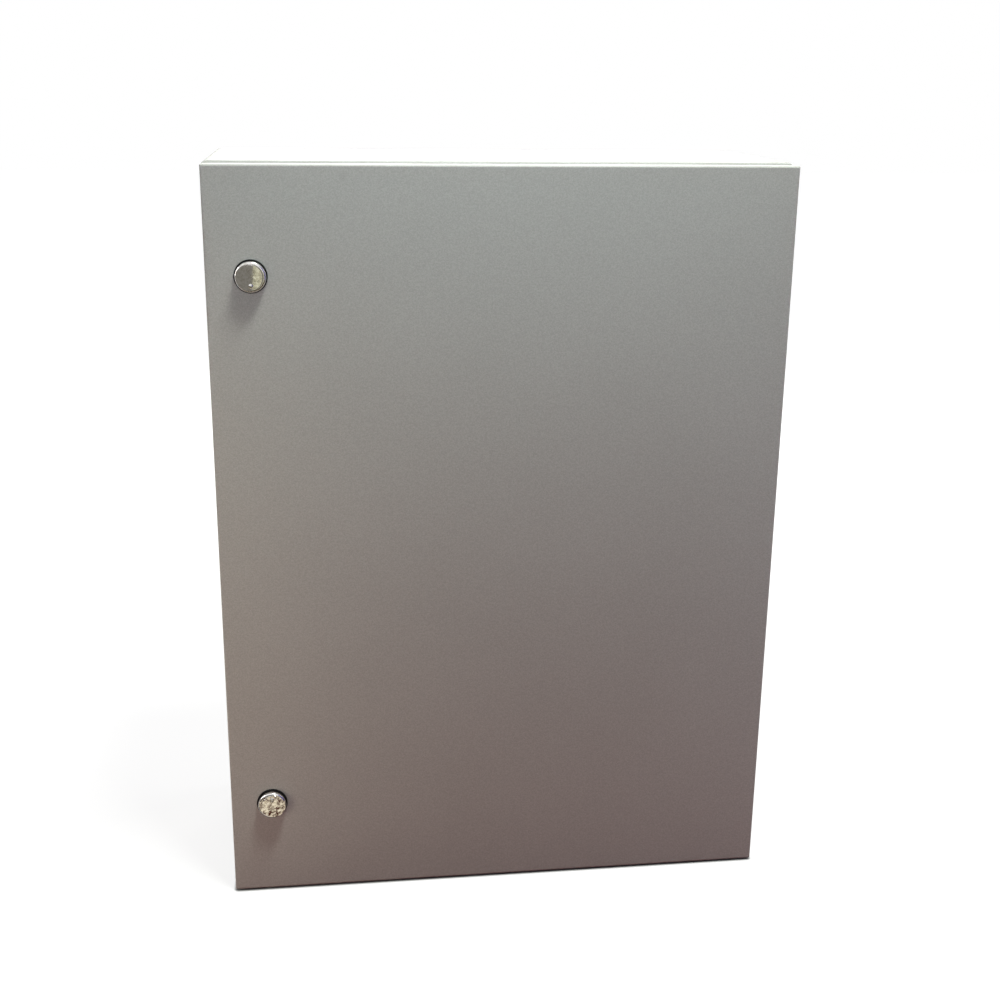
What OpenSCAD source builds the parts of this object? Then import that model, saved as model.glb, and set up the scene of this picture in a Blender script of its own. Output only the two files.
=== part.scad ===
// Wall-mounted sheet steel enclosure: a folded body with a mounting plate inside, and one
// hinged door held by two quarter-turn cam locks that hide under swinging dust covers.
// +X is right, +Y runs towards the wall and +Z is up. The origin is the middle of the
// footprint, on the plane that the base stands on. Lengths are in millimetres.

/* [Body] */
// Width of the body
body_w = 600; // [500:10:1000]
// Height of the body
body_h = 800; // [600:10:1400]
// Depth from the wall to the front of the closed door
overall_d = 250; // [200:10:400]
// Thickness of the body sheet
body_sheet = 1.5; // [1.2:0.1:2]
// Inner radius of the body's lengthwise corners
corner_in_r = 4.5; // [3:0.5:10]
// Inner radius of the bend from a wall into the front rim
rim_bend_in_r = 1.5; // [1:0.1:3]
// Radius of a wall fixing hole
wall_hole_r = 4.5; // [3:0.5:6]
// Distance of a wall fixing hole from the sides of the body
wall_hole_inset = 30; // [20:1:32]

/* [Mounting plate] */
// Distance of the plate's edges from the outside of the body
plate_margin = 45; // [42:1:80]
// Thickness of the plate
plate_t = 2.5; // [2:0.1:4]
// Depth of the plate's folded side edges
plate_fold = 12; // [8:1:16]
// Inner radius of the plate's bends
plate_bend_in_r = 1.5; // [1:0.1:3]
// Gap between the plate and the back wall
plate_standoff = 18; // [16:1:40]
// Distance of a plate stud from the plate's edges
stud_inset = 24; // [20:1:60]
// Radius of a plate stud
stud_r = 4; // [3:0.5:5]

/* [Cable gland opening] */
// Distance of the floor opening from the sides of the body
gland_side_in = 100; // [70:5:180]
// Distance of the floor opening from the front rim and the mounting plate
gland_end_in = 46; // [30:1:60]
// Overlap of the gland plate around the opening
gland_lap = 20; // [16:1:24]
// Thickness of the gland plate
gland_plate_t = 2; // [1.5:0.1:4]
// Thickness of the gland plate's gasket
gland_gasket_t = 3; // [2:0.5:5]

/* [Door] */
// Thickness of the door sheet
door_sheet = 1.5; // [1.2:0.1:2]
// Depth of the door's folded edges
door_d = 21; // [18:0.5:24]
// How far the door stays inside the body's width on each side
door_side_reveal = 1; // [0:0.25:3]
// How far the door stays inside the body's height at each end
door_end_reveal = 2; // [1:0.25:4]
// Inner radius of the door's bends
door_bend_in_r = 0.6; // [0.5:0.1:2]
// Radius of the door's four corners
door_corner_r = 1.5; // [1:0.1:2]
// Width of the foamed door gasket
gasket_w = 8; // [6:0.5:10]
// Thickness of the foamed door gasket
gasket_t = 9; // [7:0.5:10]
// Distance of a door stiffener from the side of the door
stiffener_side_in = 149; // [110:1:200]

/* [Hinges] */
// Distance of a hinge from the end of the door
hinge_inset = 120; // [60:5:240]
// Distance of the hinge axis from the door's front and side
hinge_axis_in = 9; // [8.5:0.1:9.5]
// Radius of a hinge knuckle
knuckle_r = 4.5; // [4:0.1:4.8]
// Radius of a hinge pin
pin_r = 2.5; // [2:0.1:3]
// Length of the knuckle on the door
door_knuckle_l = 24; // [22:1:40]
// Length of each knuckle on the body
frame_knuckle_l = 12; // [8:1:20]

/* [Locks] */
// Distance of the lock axis from the side of the door
lock_side_inset = 44.5; // [44:0.5:70]
// Distance of a lock from the end of the door
lock_end_inset = 107.5; // [70:0.5:200]
// Radius of a lock's head
head_r = 15.4; // [14.8:0.1:18]
// Height of the straight side of a lock's head
head_side_h = 4; // [3:0.5:9]
// Radius of the rounded front edge of a lock's head
head_edge_r = 2.5; // [1.5:0.1:4]
// Radius of a lock's threaded barrel
barrel_r = 9; // [8:0.1:10]
// Radius of a dust cover
cover_r = 13; // [12:0.1:14]
// Height of the straight rim of a dust cover
cover_rim_h = 0.7; // [0.5:0.1:2]
// Angle that a dust cover has swung about its rivet, in degrees
cover_lean = 10; // [0:1:30]
// Length of a cam from the lock axis to its tip
cam_l = 34; // [32:0.5:40]
// Width of a cam
cam_w = 18; // [14:0.5:22]
// Thickness of a cam
cam_t = 3; // [2.5:0.1:4]

/* [Hidden] */
$fn = 64;

// How far a cutting shape runs past what it cuts
overrun = 1;
// Play between a thread and its hole
thread_clear = 0.05;

// Body details
lip_seal_r = 5;

// Mounting plate fixings
stud_hole_clear = 0.5;
stud_tail = 8;
spacer_wall = 3;
plate_washer_wall = 4;
plate_washer_t = 1.6;
plate_nut_wall = 2.5;
plate_nut_t = 6.5;

// Gland plate fixings
gland_corner_r = 8;
gland_stud_r = 2.5;
gland_stud_tail = 4;
gland_stud_end_in = 30;
gland_washer_wall = 2.5;
gland_washer_t = 1;
gland_nut_wall = 1.5;
gland_nut_t = 4;
gland_hole_clear = 0.4;
gland_gasket_edge_in = 2;

// Earth studs: one on the floor beside the gland plate, one inside the door
earth_r = 4;
earth_l = 18;
earth_washer_wall = 4;
earth_washer_t = 1.6;
earth_nut_wall = 2.5;
earth_nut_t = 6.5;
earth_door_in = 50;

// Door details
seal_gap = 0.3;
swing_clear = 2;
stiffener_w = 24;
stiffener_h = 8;
stiffener_foot = 10;
stiffener_sheet = 1.2;
stiffener_end_in = 60;

// Hinge details
pin_clear = 0.05;
knuckle_gap = 0.3;
frame_plate_t = 2.5;
frame_plate_w = 15.5;
frame_arm_t = 3;
door_foot_t = 2;
door_foot_w = 12;
pin_head_lip = 1.5;
pin_head_h = 2;
pin_tail = 3;
notch_clear = 3.5;
notch_root = 4;
leaf_screw_r = 2;
leaf_screw_flare = 2;
leaf_screw_spacing = 14;
leaf_screw_tail = 1;
leaf_nut_wall = 1.5;
leaf_nut_t = 3.2;

// Lock details
seal_lip = 1.3;
seal_t = 1.5;
barrel_flat_cut = 1;
barrel_hole_clear = 0.25;
lock_nut_wall = 2;
lock_nut_t = 5;
core_r = 4.5;
core_collar_lip = 1;
core_collar_t = 3;
core_recess = 0.3;
core_clear = 0.1;
core_tail = 1.5;
slot_w = 2;
slot_l = 7;
slot_d = 2.2;
shank_side = 6;
shank_short = 0.3;
shank_clear = 0.1;
cam_clear = 1.5;
cam_washer_wall = 4;
cam_washer_t = 1.2;
cam_screw_r = 2;
cam_screw_l = 10;
cam_screw_head_lip = 2;
cam_screw_head_h = 3;
cam_screw_end_gap = 1;
cover_gap = 0.15;
cover_edge_r = 0.8;
cover_crown_h = 0.5;
pivot_wall = 1.45;
rivet_r = 1.2;
rivet_clear = 0.05;
rivet_head_lip = 1;
rivet_head_h = 0.8;
rivet_depth = 4;

// Heights on a lock's head, measured outwards from the door's front face
head_h = head_side_h + head_edge_r;
head_top = seal_t + head_h;
cover_t = cover_rim_h + cover_edge_r;
cover_bottom = head_top + cover_gap;
cover_top = cover_bottom + cover_t;
core_top = head_top - core_recess;
collar_bottom = core_top - core_collar_t;

// The door's folded edge swings on this radius, and the rim and its lip stay clear of it
swing_r = norm([hinge_axis_in, door_d - hinge_axis_in]);
door_gap = swing_r + swing_clear - (door_d - hinge_axis_in);
rim_w = door_side_reveal + hinge_axis_in + swing_r + swing_clear + body_sheet;

// Stations along Y, from the wall to the front of a lock
body_back = (overall_d + cover_top + rivet_head_h) / 2;
back_inner = body_back - body_sheet;
door_front = body_back - overall_d;
door_inner = door_front + door_sheet;
door_back = door_front + door_d;
body_front = door_back + door_gap;
rim_back = body_front + body_sheet;
lip_front = door_inner + gasket_t + seal_gap;
plate_back = back_inner - plate_standoff;
plate_front = plate_back - plate_t;

// Sizes and places seen from the front
mid_z = body_h / 2;
inner_w = body_w - 2 * body_sheet;
inner_h = body_h - 2 * body_sheet;
open_w = body_w - 2 * rim_w;
open_h = body_h - 2 * rim_w;
lip_line_r = lip_seal_r + gasket_w / 2;
door_w = body_w - 2 * door_side_reveal;
door_h = body_h - 2 * door_end_reveal;
plate_w = body_w - 2 * plate_margin;
plate_h = body_h - 2 * plate_margin;
hinge_x = door_w / 2 - hinge_axis_in;
hinge_y = door_front + hinge_axis_in;
hinge_upper_z = mid_z + door_h / 2 - hinge_inset;
hinge_lower_z = mid_z - door_h / 2 + hinge_inset;
stiffener_x = door_w / 2 - stiffener_side_in;
lock_x = lock_side_inset - door_w / 2;
lock_upper_z = mid_z + door_h / 2 - lock_end_inset;
lock_lower_z = mid_z - door_h / 2 + lock_end_inset;

// Floor opening and the plate over it
gland_y = (rim_back + plate_front) / 2;
gland_w = body_w - 2 * gland_side_in;
gland_d = plate_front - rim_back - 2 * gland_end_in;
gland_plate_w = gland_w + 2 * gland_lap;
gland_plate_d = gland_d + 2 * gland_lap;

// Hinge leaves on the body
frame_half_l = door_knuckle_l / 2 + knuckle_gap + frame_knuckle_l;
frame_plate_x = hinge_x - knuckle_r + (frame_arm_t - frame_plate_w) / 2;

// Depths on a lock behind the door, and the place of its cover's rivet
cam_top = door_front - rim_back - cam_clear;
cam_bottom = cam_top - cam_t;
barrel_bottom = cam_top + core_tail;
washer_bottom = cam_bottom - cam_washer_t;
core_collar_r = core_r + core_collar_lip;
pivot_off = core_collar_r + core_clear + pivot_wall + rivet_r + rivet_clear;

// Finishes
paint = [0.60, 0.59, 0.57];
zinc = [0.66, 0.68, 0.70];
chrome = [0.80, 0.80, 0.82];
black = [0.05, 0.05, 0.05];
foam = [0.12, 0.12, 0.13];

// Radius of the sphere whose cap is h high over a circle of radius r
function cap_r(r, h) = (pow(r, 2) + pow(h, 2)) / (2 * h);

// Rectangle with four round corners, centred on the origin
module rounded_rect(w, h, r) {
    square([w - 2 * r, h], center = true);
    square([w, h - 2 * r], center = true);
    for (x = [-1, 1], y = [-1, 1])
        translate([x * (w / 2 - r), y * (h / 2 - r)]) circle(r);
}

// Extrudes a front view from y0 back to y1, about the height of the cabinet's middle
module along_y(y0, y1) {
    translate([0, y1, mid_z]) rotate([90, 0, 0]) linear_extrude(y1 - y0) children();
}

// Section across a folded sheet: a span with both front corners bent to radius r
module bend_section(span, y0, y1, r) {
    translate([-span / 2, y0 + r]) square([span, y1 - y0 - r]);
    translate([r - span / 2, y0]) square([span - 2 * r, y1 - y0]);
    for (side = [-1, 1]) translate([side * (span / 2 - r), y0 + r]) circle(r);
}

// Block whose four front edges are bent to bend_r and whose lengthwise corners are round
module folded_block(w, h, y0, y1, bend_r, round_r) {
    intersection() {
        along_y(y0, y1) rounded_rect(w, h, round_r);
        translate([0, 0, mid_z - h / 2]) linear_extrude(h) bend_section(w, y0, y1, bend_r);
        translate([w / 2, 0, mid_z]) rotate([0, -90, 0])
            linear_extrude(w) bend_section(h, y0, y1, bend_r);
    }
}

// Flat ring with a round hole, standing on the origin
module ring(outer_r, inner_r, h) {
    difference() {
        cylinder(r = outer_r, h = h);
        translate([0, 0, -overrun]) cylinder(r = inner_r, h = h + 2 * overrun);
    }
}

// Washer on a bolt of radius bolt_r, standing on the origin
module washer(bolt_r, wall, h) {
    ring(bolt_r + wall, bolt_r + thread_clear, h);
}

// Hexagonal nut on a bolt of radius bolt_r, with the wall that is left at its flats
module hex_nut(bolt_r, wall, h) {
    difference() {
        rotate(30) cylinder(r = (bolt_r + wall) / cos(30), h = h, $fn = 6);
        translate([0, 0, -overrun]) cylinder(r = bolt_r + thread_clear, h = h + 2 * overrun);
    }
}

// Places children on the back wall at the four plate studs, with local +Z towards the door
module at_plate_studs() {
    for (x = [-1, 1], z = [-1, 1])
        translate([x * (plate_w / 2 - stud_inset), back_inner,
                   mid_z + z * (plate_h / 2 - stud_inset)])
            rotate([90, 0, 0]) children();
}

// Places children on the floor at the six gland plate studs
module at_gland_studs() {
    for (x = [-1, 0, 1], y = [-1, 1])
        translate([x * (gland_w / 2 - gland_stud_end_in),
                   gland_y + y * (gland_d + gland_lap) / 2, body_sheet])
            children();
}

// Places children on the floor's earth stud, between the gland plate and the right wall
module at_body_earth() {
    translate([(gland_plate_w + inner_w) / 4, gland_y, body_sheet]) children();
}

// Places children on the earth stud inside the door, with local +Z into the cabinet
module at_door_earth() {
    translate([open_w / 2 - earth_door_in, door_inner, mid_z - open_h / 2 + earth_door_in])
        rotate([-90, 0, 0]) children();
}

// Places children at a lock, with local +Z out of the door and local +Y up
module at_lock(z) {
    translate([lock_x, door_front, z]) rotate([90, 0, 0]) children();
}

// Places children on the two screws of a hinge's frame leaf, with local +Z out of the body
module at_leaf_screws(z) {
    for (side = [-1, 1])
        translate([frame_plate_x + frame_plate_w / 2, body_front,
                   z + side * leaf_screw_spacing / 2])
            rotate([90, 0, 0]) children();
}

// Top, bottom and sides of the body in one folded sheet, with the front rim and its sealing lip
module body_wrap() {
    color(paint) difference() {
        union() {
            difference() {
                folded_block(body_w, body_h, body_front, body_back,
                             rim_bend_in_r + body_sheet, corner_in_r + body_sheet);
                folded_block(inner_w, inner_h, rim_back, body_back + overrun, rim_bend_in_r, corner_in_r);
            }
            along_y(lip_front, rim_back)
                rounded_rect(open_w + 2 * body_sheet, open_h + 2 * body_sheet, lip_line_r + body_sheet / 2);
        }
        along_y(lip_front - overrun, rim_back + overrun)
            rounded_rect(open_w, open_h, lip_line_r - body_sheet / 2);
        translate([0, gland_y, -overrun]) linear_extrude(body_sheet + 2 * overrun)
            rounded_rect(gland_w, gland_d, gland_corner_r);
        for (z = [hinge_upper_z, hinge_lower_z]) at_leaf_screws(z)
            translate([0, 0, -body_sheet - overrun])
                cylinder(r = leaf_screw_r + thread_clear, h = body_sheet + 2 * overrun);
    }
}

// Back of the body, welded in flush with the ends of the wrap
module back_panel() {
    color(paint) difference() {
        along_y(back_inner, body_back) rounded_rect(inner_w, inner_h, corner_in_r);
        for (x = [-1, 1], z = [-1, 1])
            translate([x * (body_w / 2 - wall_hole_inset), body_back + overrun,
                       mid_z + z * (body_h / 2 - wall_hole_inset)])
                rotate([90, 0, 0]) cylinder(r = wall_hole_r, h = body_sheet + 2 * overrun);
    }
}

// Plate that carries the equipment, with both side edges folded back
module mounting_plate() {
    color(zinc) difference() {
        translate([0, 0, mid_z - plate_h / 2]) linear_extrude(plate_h) difference() {
            bend_section(plate_w, plate_front, plate_front + plate_fold, plate_bend_in_r + plate_t);
            bend_section(plate_w - 2 * plate_t, plate_back, plate_front + plate_fold + overrun,
                         plate_bend_in_r);
        }
        at_plate_studs() translate([0, 0, plate_standoff - overrun])
            cylinder(r = stud_r + stud_hole_clear, h = plate_t + 2 * overrun);
    }
}

module plate_studs() {
    color(zinc) at_plate_studs()
        cylinder(r = stud_r, h = plate_standoff + plate_t + plate_washer_t + plate_nut_t + stud_tail);
}

module plate_spacers() {
    color(zinc) at_plate_studs()
        ring(stud_r + stud_hole_clear + spacer_wall, stud_r + thread_clear, plate_standoff);
}

module plate_washers() {
    color(zinc) at_plate_studs() translate([0, 0, plate_standoff + plate_t])
        washer(stud_r, plate_washer_wall, plate_washer_t);
}

module plate_nuts() {
    color(zinc) at_plate_studs() translate([0, 0, plate_standoff + plate_t + plate_washer_t])
        hex_nut(stud_r, plate_nut_wall, plate_nut_t);
}

// Cover over the cable opening in the floor, fixed from inside
module gland_plate() {
    color(paint) difference() {
        translate([0, gland_y, body_sheet + gland_gasket_t]) linear_extrude(gland_plate_t)
            rounded_rect(gland_plate_w, gland_plate_d, gland_corner_r);
        at_gland_studs() translate([0, 0, gland_gasket_t - overrun])
            cylinder(r = gland_stud_r + gland_hole_clear, h = gland_plate_t + 2 * overrun);
    }
}

module gland_gasket() {
    edge_in = 2 * gland_gasket_edge_in;
    color(foam) difference() {
        translate([0, gland_y, body_sheet]) linear_extrude(gland_gasket_t) difference() {
            rounded_rect(gland_plate_w - edge_in, gland_plate_d - edge_in, gland_corner_r);
            rounded_rect(gland_w + edge_in, gland_d + edge_in, gland_corner_r);
        }
        at_gland_studs() translate([0, 0, -overrun])
            cylinder(r = gland_stud_r + gland_hole_clear, h = gland_gasket_t + 2 * overrun);
    }
}

module gland_studs() {
    stack = gland_gasket_t + gland_plate_t + gland_washer_t + gland_nut_t;
    color(zinc) at_gland_studs() cylinder(r = gland_stud_r, h = stack + gland_stud_tail);
}

module gland_washers() {
    color(zinc) at_gland_studs() translate([0, 0, gland_gasket_t + gland_plate_t])
        washer(gland_stud_r, gland_washer_wall, gland_washer_t);
}

module gland_nuts() {
    color(zinc) at_gland_studs()
        translate([0, 0, gland_gasket_t + gland_plate_t + gland_washer_t])
            hex_nut(gland_stud_r, gland_nut_wall, gland_nut_t);
}

module earth_stud() {
    color(zinc) cylinder(r = earth_r, h = earth_l);
}

module earth_washer() {
    color(zinc) washer(earth_r, earth_washer_wall, earth_washer_t);
}

module earth_nut() {
    color(zinc) translate([0, 0, earth_washer_t]) hex_nut(earth_r, earth_nut_wall, earth_nut_t);
}

// Hinge half on the body's rim: a foot plate with two arms that end in knuckles
module hinge_frame_leaf(z) {
    color(zinc) difference() {
        union() {
            translate([frame_plate_x, body_front - frame_plate_t, z - frame_half_l])
                cube([frame_plate_w, frame_plate_t, 2 * frame_half_l]);
            for (foot_z = [z - frame_half_l, z + frame_half_l - frame_knuckle_l]) {
                translate([hinge_x - knuckle_r, hinge_y, foot_z])
                    cube([frame_arm_t, body_front - frame_plate_t / 2 - hinge_y, frame_knuckle_l]);
                translate([hinge_x, hinge_y, foot_z]) cylinder(r = knuckle_r, h = frame_knuckle_l);
            }
        }
        translate([hinge_x, hinge_y, z - frame_half_l - overrun])
            cylinder(r = pin_r + pin_clear, h = 2 * (frame_half_l + overrun));
        at_leaf_screws(z) leaf_screw(leaf_screw_r + thread_clear, overrun);
    }
}

// Countersunk screw of radius r: its head is flush with the leaf, and its shank runs tail below
module leaf_screw(r, tail) {
    translate([0, 0, -tail]) cylinder(r = r, h = tail + frame_plate_t);
    translate([0, 0, frame_plate_t - leaf_screw_flare])
        cylinder(r1 = r, r2 = r + leaf_screw_flare, h = leaf_screw_flare);
}

// Countersunk screws that hold the frame leaves on the rim
module hinge_leaf_screws() {
    color(zinc) for (z = [hinge_upper_z, hinge_lower_z]) at_leaf_screws(z)
        leaf_screw(leaf_screw_r, body_sheet + leaf_nut_t + leaf_screw_tail);
}

module hinge_leaf_nuts() {
    color(zinc) for (z = [hinge_upper_z, hinge_lower_z]) at_leaf_screws(z)
        translate([0, 0, -body_sheet - leaf_nut_t])
            hex_nut(leaf_screw_r, leaf_nut_wall, leaf_nut_t);
}

module hinge_pin(z) {
    color(zinc) translate([hinge_x, hinge_y, z]) {
        translate([0, 0, -frame_half_l - pin_tail])
            cylinder(r = pin_r, h = 2 * frame_half_l + pin_tail);
        translate([0, 0, frame_half_l]) cylinder(r = pin_r + pin_head_lip, h = pin_head_h);
    }
}

// Hinge half on the door: a knuckle on a web that stands on a welded foot
module hinge_door_leaf(z) {
    color(zinc) translate([hinge_x, 0, z - door_knuckle_l / 2]) difference() {
        union() {
            translate([-door_foot_w / 2, door_inner, 0])
                cube([door_foot_w, door_foot_t, door_knuckle_l]);
            translate([-knuckle_r, door_inner, 0])
                cube([2 * knuckle_r, hinge_y - door_inner, door_knuckle_l]);
            translate([0, hinge_y, 0]) cylinder(r = knuckle_r, h = door_knuckle_l);
        }
        translate([0, hinge_y, -overrun])
            cylinder(r = pin_r + pin_clear, h = door_knuckle_l + 2 * overrun);
    }
}

// Barrel of a lock as a section: a circle with two flats that stop it turning
module barrel_section(r) {
    intersection() {
        circle(r);
        square([2 * r, 2 * (r - barrel_flat_cut)], center = true);
    }
}

// Door: a shallow pan of folded sheet, notched where the hinges pass its right edge
module door_panel() {
    notch_l = 2 * (frame_half_l + notch_clear);
    color(paint) difference() {
        folded_block(door_w, door_h, door_front, door_back, door_bend_in_r + door_sheet, door_corner_r);
        folded_block(door_w - 2 * door_sheet, door_h - 2 * door_sheet, door_inner, door_back + overrun,
                     door_bend_in_r, door_corner_r);
        for (z = [lock_upper_z, lock_lower_z]) at_lock(z) translate([0, 0, -door_sheet - overrun])
            linear_extrude(door_sheet + 2 * overrun) barrel_section(barrel_r + barrel_hole_clear);
        for (z = [hinge_upper_z, hinge_lower_z])
            translate([door_w / 2 - door_sheet - overrun, door_front + notch_root, z - notch_l / 2])
                cube([door_sheet + 2 * overrun, door_d, notch_l]);
    }
}

// Foamed seal inside the door, on the line of the body's sealing lip
module door_gasket() {
    line_w = open_w + body_sheet;
    line_h = open_h + body_sheet;
    color(foam) along_y(door_inner, door_inner + gasket_t) difference() {
        rounded_rect(line_w + gasket_w, line_h + gasket_w, lip_line_r + gasket_w / 2);
        rounded_rect(line_w - gasket_w, line_h - gasket_w, lip_seal_r);
    }
}

// Hat-section stiffener, welded to the inside of the door by its two feet
module door_stiffener(x) {
    foot_span = stiffener_w + 2 * stiffener_foot;
    hollow_w = stiffener_w - 2 * stiffener_sheet;
    color(paint) translate([x, door_inner, mid_z - door_h / 2 + stiffener_end_in])
        linear_extrude(door_h - 2 * stiffener_end_in) difference() {
            union() {
                translate([-foot_span / 2, 0]) square([foot_span, stiffener_sheet]);
                translate([-stiffener_w / 2, 0]) square([stiffener_w, stiffener_h]);
            }
            translate([-hollow_w / 2, -overrun])
                square([hollow_w, stiffener_h - stiffener_sheet + overrun]);
        }
}

// Black ring between a lock's head and the door
module lock_seal(z) {
    color(black) at_lock(z) linear_extrude(seal_t) difference() {
        circle(head_r + seal_lip);
        circle(barrel_r + barrel_hole_clear);
    }
}

// Half section of a disc whose upper outer edge is rounded to edge_r
module rounded_disc_half(r, h, edge_r) {
    square([r - edge_r, h]);
    square([r, h - edge_r]);
    translate([r - edge_r, h - edge_r]) intersection() {
        circle(edge_r);
        square(edge_r);
    }
}

// Head and barrel of a lock in one casting, bored for the core and the cover's rivet
module lock_housing(z, pivot_side) {
    color(chrome) at_lock(z) difference() {
        union() {
            translate([0, 0, seal_t]) rotate_extrude() rounded_disc_half(head_r, head_h, head_edge_r);
            translate([0, 0, barrel_bottom])
                linear_extrude(seal_t + head_h / 2 - barrel_bottom) barrel_section(barrel_r);
        }
        translate([0, 0, barrel_bottom - overrun])
            cylinder(r = core_r + core_clear, h = head_top - barrel_bottom + 2 * overrun);
        translate([0, 0, collar_bottom - core_clear])
            cylinder(r = core_collar_r + core_clear, h = head_top - collar_bottom + overrun);
        translate([0, pivot_side * pivot_off, head_top - rivet_depth])
            cylinder(r = rivet_r + rivet_clear, h = rivet_depth + overrun);
    }
}

module lock_nut(z) {
    color(zinc) at_lock(z) translate([0, 0, -door_sheet - lock_nut_t])
        hex_nut(barrel_r, lock_nut_wall, lock_nut_t);
}

// Turning core: a slotted collar in front, a square shank for the cam behind
module lock_core(z) {
    color(zinc) at_lock(z) difference() {
        union() {
            translate([0, 0, cam_top]) cylinder(r = core_r, h = core_top - cam_top);
            translate([0, 0, collar_bottom]) cylinder(r = core_collar_r, h = core_collar_t);
            translate([-shank_side / 2, -shank_side / 2, cam_bottom + shank_short])
                cube([shank_side, shank_side, cam_t]);
        }
        translate([-slot_l / 2, -slot_w / 2, core_top - slot_d])
            cube([slot_l, slot_w, slot_d + overrun]);
        translate([0, 0, cam_bottom - overrun])
            cylinder(r = cam_screw_r + thread_clear, h = cam_screw_l + cam_screw_end_gap + overrun);
    }
}

// Flat cam with round ends, hanging down in the unlocked position
module lock_cam(z) {
    color(zinc) at_lock(z) translate([0, 0, cam_bottom]) linear_extrude(cam_t) difference() {
        union() {
            circle(cam_w / 2);
            translate([-cam_w / 2, cam_w / 2 - cam_l]) square([cam_w, cam_l - cam_w / 2]);
            translate([0, cam_w / 2 - cam_l]) circle(cam_w / 2);
        }
        square(shank_side + 2 * shank_clear, center = true);
    }
}

module cam_washer(z) {
    color(zinc) at_lock(z) translate([0, 0, washer_bottom])
        washer(cam_screw_r, cam_washer_wall, cam_washer_t);
}

module cam_screw(z) {
    color(zinc) at_lock(z) {
        translate([0, 0, washer_bottom]) cylinder(r = cam_screw_r, h = cam_screw_l + cam_washer_t);
        translate([0, 0, washer_bottom - cam_screw_head_h])
            cylinder(r = cam_screw_r + cam_screw_head_lip, h = cam_screw_head_h);
    }
}

// Slightly crowned dust cover that turns about its rivet
module dust_cover(z, pivot_side) {
    crown_r = cap_r(cover_r, cover_crown_h);
    color(chrome) at_lock(z) translate([0, pivot_side * pivot_off, cover_bottom]) difference() {
        rotate(cover_lean) translate([0, -pivot_side * pivot_off, 0]) intersection() {
            rotate_extrude() rounded_disc_half(cover_r, cover_t, cover_edge_r);
            translate([0, 0, cover_t - crown_r]) sphere(crown_r, $fn = 256);
        }
        translate([0, 0, -overrun]) cylinder(r = rivet_r + rivet_clear, h = cover_t + 2 * overrun);
    }
}

// Rivet that a dust cover turns on, with a low domed head
module cover_rivet(z, pivot_side) {
    dome_r = cap_r(rivet_r + rivet_head_lip, rivet_head_h);
    color(chrome) at_lock(z) translate([0, pivot_side * pivot_off, 0]) {
        translate([0, 0, head_top - rivet_depth])
            cylinder(r = rivet_r, h = cover_top - head_top + rivet_depth);
        translate([0, 0, cover_top]) intersection() {
            translate([0, 0, rivet_head_h - dome_r]) sphere(dome_r);
            cylinder(r = rivet_r + rivet_head_lip, h = rivet_head_h);
        }
    }
}

body_wrap();
back_panel();
mounting_plate();
plate_studs();
plate_spacers();
plate_washers();
plate_nuts();
gland_plate();
gland_gasket();
gland_studs();
gland_washers();
gland_nuts();
at_body_earth() earth_stud();  // body_earth_stud
at_body_earth() earth_washer();  // body_earth_washer
at_body_earth() earth_nut();  // body_earth_nut
hinge_frame_leaf(hinge_upper_z);  // hinge_frame_leaf_upper
hinge_frame_leaf(hinge_lower_z);  // hinge_frame_leaf_lower
hinge_pin(hinge_upper_z);  // hinge_pin_upper
hinge_pin(hinge_lower_z);  // hinge_pin_lower
hinge_leaf_screws();
hinge_leaf_nuts();
door_panel();
door_gasket();
door_stiffener(-stiffener_x);  // door_stiffener_left
door_stiffener(stiffener_x);  // door_stiffener_right
hinge_door_leaf(hinge_upper_z);  // hinge_door_leaf_upper
hinge_door_leaf(hinge_lower_z);  // hinge_door_leaf_lower
at_door_earth() earth_stud();  // door_earth_stud
at_door_earth() earth_washer();  // door_earth_washer
at_door_earth() earth_nut();  // door_earth_nut
lock_seal(lock_upper_z);  // lock_seal_upper
lock_housing(lock_upper_z, -1);  // lock_housing_upper
lock_nut(lock_upper_z);  // lock_nut_upper
cover_rivet(lock_upper_z, -1);  // cover_rivet_upper
lock_core(lock_upper_z);  // lock_core_upper
lock_cam(lock_upper_z);  // lock_cam_upper
cam_washer(lock_upper_z);  // cam_washer_upper
cam_screw(lock_upper_z);  // cam_screw_upper
dust_cover(lock_upper_z, -1);  // dust_cover_upper
lock_seal(lock_lower_z);  // lock_seal_lower
lock_housing(lock_lower_z, 1);  // lock_housing_lower
lock_nut(lock_lower_z);  // lock_nut_lower
cover_rivet(lock_lower_z, 1);  // cover_rivet_lower
lock_core(lock_lower_z);  // lock_core_lower
lock_cam(lock_lower_z);  // lock_cam_lower
cam_washer(lock_lower_z);  // cam_washer_lower
cam_screw(lock_lower_z);  // cam_screw_lower
dust_cover(lock_lower_z, 1);  // dust_cover_lower
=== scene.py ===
"""Looks of a wall-mounted sheet steel enclosure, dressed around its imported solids.

Metres, +X right, +Y towards the wall, +Z up, with the door's front facing -Y.
"""

import math

import bmesh
import bpy
from mathutils import Matrix, Vector


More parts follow.
